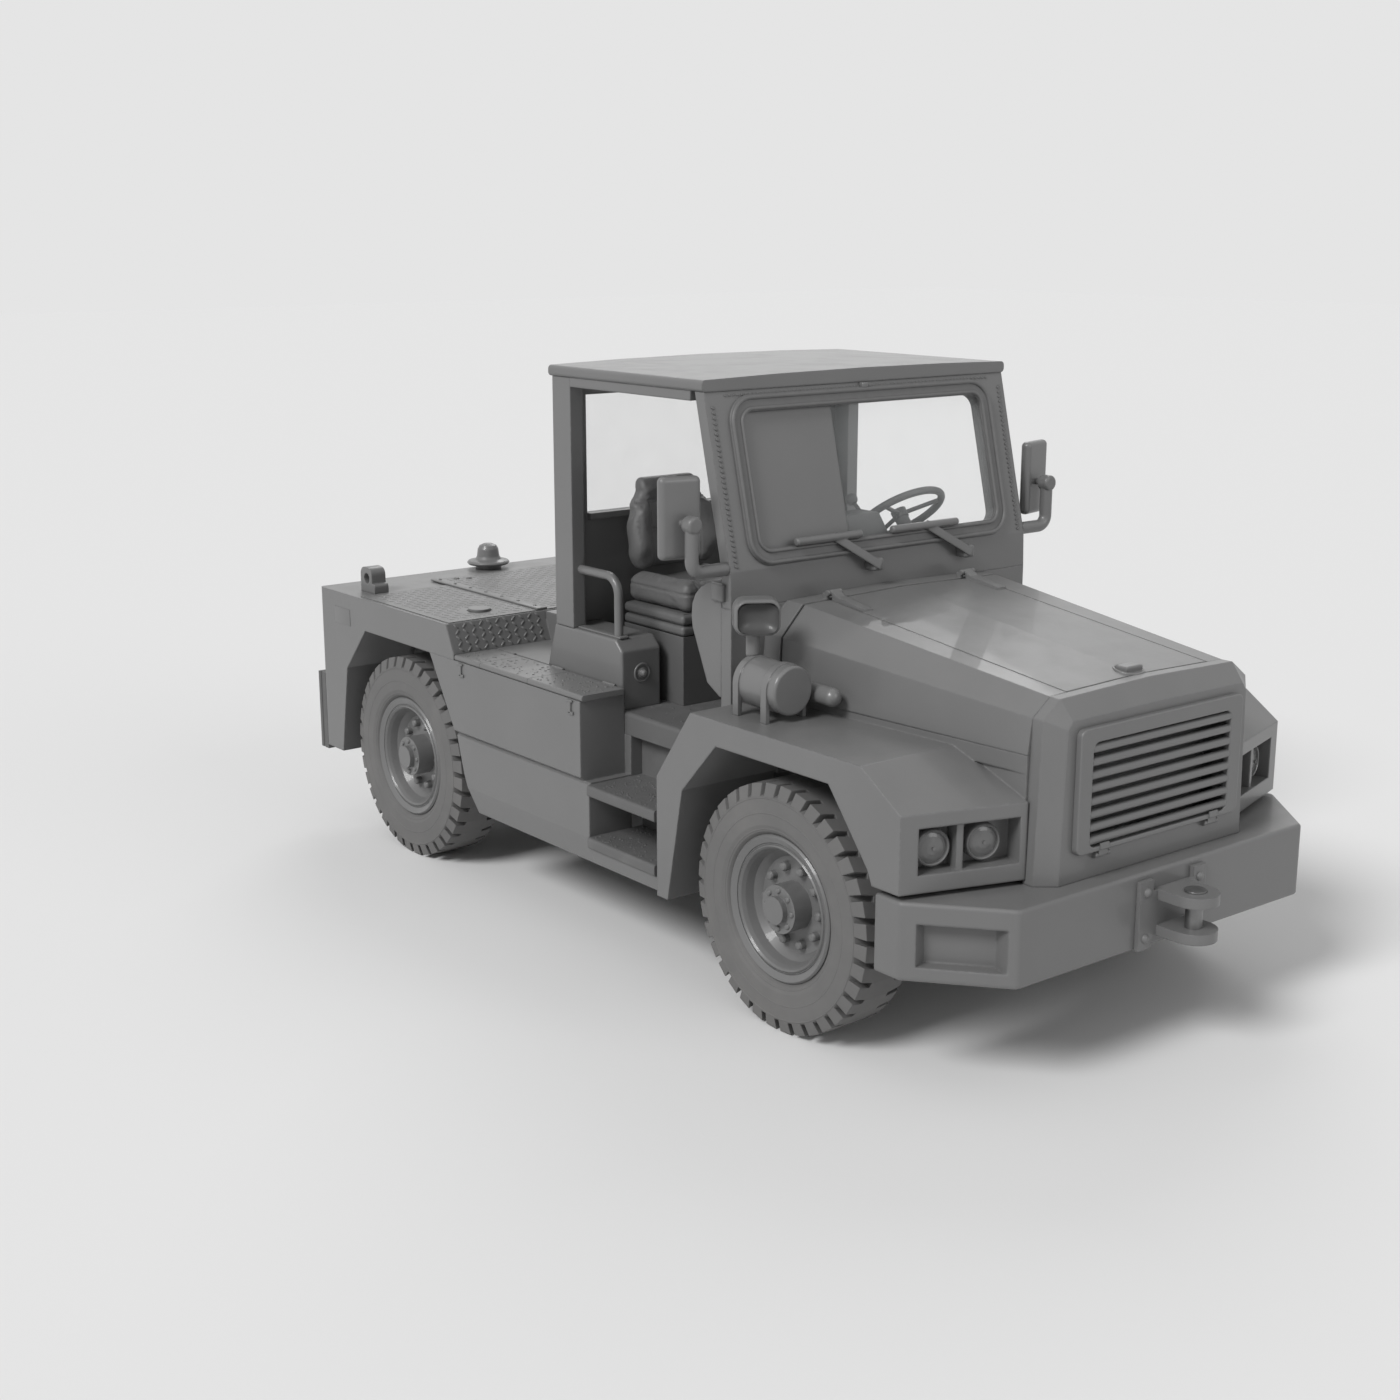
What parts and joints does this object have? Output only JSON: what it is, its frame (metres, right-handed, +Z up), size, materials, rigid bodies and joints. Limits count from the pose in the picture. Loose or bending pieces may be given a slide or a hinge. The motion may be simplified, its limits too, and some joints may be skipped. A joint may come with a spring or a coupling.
{
  "type": "aircraft pushback tractor",
  "caption": "Low conventional tow tractor for aircraft, with a hooded front engine, open-sided cab, decked rear body, side lockers with steps and a tow jaw at each end.",
  "frame": {"origin": "on the ground under the middle of the overall length, on the centre line", "axes": "+X forward, +Y to the vehicle's left, +Z up"},
  "size_m": [5, 2.2474, 2.51],
  "materials": {
    "body_paint": "satin paint, slightly worn",
    "frame_paint": "matt chassis paint",
    "machined_steel": "bare machined steel",
    "cast_steel": "cast surface under paint",
    "wheel_paint": "semi-gloss wheel paint",
    "tyre_rubber": "dusty tyre rubber",
    "soft_rubber": "matt rubber",
    "black_plastic": "moulded plastic, satin",
    "fitting_paint": "smooth satin paint",
    "seat_vinyl": "vinyl seat cover",
    "core_metal": "dull fins",
    "lens": "clear moulded lens over a grey reflector",
    "glass": "clear flat glass"
  },
  "bodies": {
    "chassis": {"air_cleaner": "fitting_paint", "air_intake": "black_plastic", "beacon": "lens", "cab_floor": "body_paint", "cab_glass": "glass", "cab_sides": "body_paint", "chassis_frame": "frame_paint", "cowl": "body_paint", "dash": "black_plastic", "deck_fittings": "body_paint", "deck_plates": "body_paint", "engine_block": "cast_steel", "front_axle": "frame_paint", "front_bumper": "body_paint", "front_fenders": "body_paint", "hood_sides": "body_paint", "lamps": "lens", "leaf_springs": "frame_paint", "mirrors": "black_plastic", "radiator_core": "core_metal", "radiator_shell": "body_paint", "rear_axle": "frame_paint", "rear_body": "body_paint", "rear_pads": "soft_rubber", "rear_wall": "body_paint", "roof": "body_paint", "screen_blank_pane": "body_paint", "screen_frame": "body_paint", "screen_gasket": "soft_rubber", "seat_backs": "seat_vinyl", "seat_bellows": "soft_rubber", "seat_boxes": "frame_paint", "seat_cushions": "seat_vinyl", "side_boxes": "body_paint", "steps": "frame_paint", "tow_jaws": "cast_steel", "wipers": "black_plastic"},
    "knuckle_left": {"knuckle_left": "machined_steel"},
    "knuckle_right": {"knuckle_right": "machined_steel"},
    "tie_rod": {"tie_rod": "machined_steel"},
    "wheel_front_left": {"tyre_front_left": "tyre_rubber", "rim_front_left": "wheel_paint"},
    "wheel_front_right": {"tyre_front_right": "tyre_rubber", "rim_front_right": "wheel_paint"},
    "wheel_rear_left": {"tyre_rear_left": "tyre_rubber", "rim_rear_left": "wheel_paint"},
    "wheel_rear_right": {"tyre_rear_right": "tyre_rubber", "rim_rear_right": "wheel_paint"},
    "steering_wheel": {"steering_wheel": "black_plastic"},
    "hood_lid": {"hood_lid": "body_paint"},
    "box_lid_left": {"box_lid_left": "body_paint"},
    "box_lid_right": {"box_lid_right": "body_paint"},
    "grille": {"grille": "body_paint"},
    "tow_pin_front": {"tow_pin_front": "machined_steel"},
    "tow_pin_rear": {"tow_pin_rear": "machined_steel"}
  },
  "joints": [
    {"name": "steer_left", "type": "hinge", "parent": "chassis", "child": "knuckle_left", "pos_m": [1.236, 0.856, 0.505], "axis": [0, 0, 1], "range_deg": [-32, 32]},
    {"name": "steer_right", "type": "hinge", "parent": "chassis", "child": "knuckle_right", "pos_m": [1.236, -0.856, 0.505], "axis": [0, 0, 1], "range_deg": [-32, 32]},
    {"name": "tie_rod_swing", "type": "hinge", "parent": "knuckle_left", "child": "tie_rod", "pos_m": [1.096, 0.856, 0.4], "axis": [0, 0, 1], "range_deg": [-32, 32]},
    {"name": "steering_wheel_turn", "type": "hinge", "parent": "chassis", "child": "steering_wheel", "pos_m": [0.36, 0.4, 1.824], "axis": [-0.6157, 0, 0.788], "range_deg": [-540, 540]},
    {"name": "wheel_spin_front_left", "type": "hinge", "parent": "knuckle_left", "child": "wheel_front_left", "pos_m": [1.236, 0.936, 0.505], "axis": [0, 1, 0], "continuous": true},
    {"name": "wheel_spin_front_right", "type": "hinge", "parent": "knuckle_right", "child": "wheel_front_right", "pos_m": [1.236, -0.936, 0.505], "axis": [0, 1, 0], "continuous": true},
    {"name": "wheel_spin_rear_left", "type": "hinge", "parent": "chassis", "child": "wheel_rear_left", "pos_m": [-1.619, 0.936, 0.505], "axis": [0, 1, 0], "continuous": true},
    {"name": "wheel_spin_rear_right", "type": "hinge", "parent": "chassis", "child": "wheel_rear_right", "pos_m": [-1.619, -0.936, 0.505], "axis": [0, 1, 0], "continuous": true},
    {"name": "hood_lid_open", "type": "hinge", "parent": "chassis", "child": "hood_lid", "pos_m": [0.797, 0, 1.622], "axis": [0, -1, 0], "range_deg": [0, 65]},
    {"name": "box_lid_left_open", "type": "hinge", "parent": "chassis", "child": "box_lid_left", "pos_m": [-0.548, 0.868, 1.127], "axis": [1, 0, 0], "range_deg": [0, 80]},
    {"name": "box_lid_right_open", "type": "hinge", "parent": "chassis", "child": "box_lid_right", "pos_m": [-0.548, -0.868, 1.127], "axis": [-1, 0, 0], "range_deg": [0, 80]},
    {"name": "grille_open", "type": "hinge", "parent": "chassis", "child": "grille", "pos_m": [2.2133, 0, 0.84], "axis": [0, 1, 0], "range_deg": [0, 75]},
    {"name": "tow_pin_front_lift", "type": "slide", "parent": "chassis", "child": "tow_pin_front", "axis": [0, 0, 1], "range_m": [0, 0.145]},
    {"name": "tow_pin_rear_lift", "type": "slide", "parent": "chassis", "child": "tow_pin_rear", "axis": [0, 0, 1], "range_m": [0, 0.145]}
  ],
  "couplings": [
    {"joint": "steer_right", "follows": "steer_left", "ratio": 1},
    {"joint": "tie_rod_swing", "follows": "steer_left", "ratio": -1},
    {"joint": "steering_wheel_turn", "follows": "steer_left", "ratio": 16.875}
  ]
}
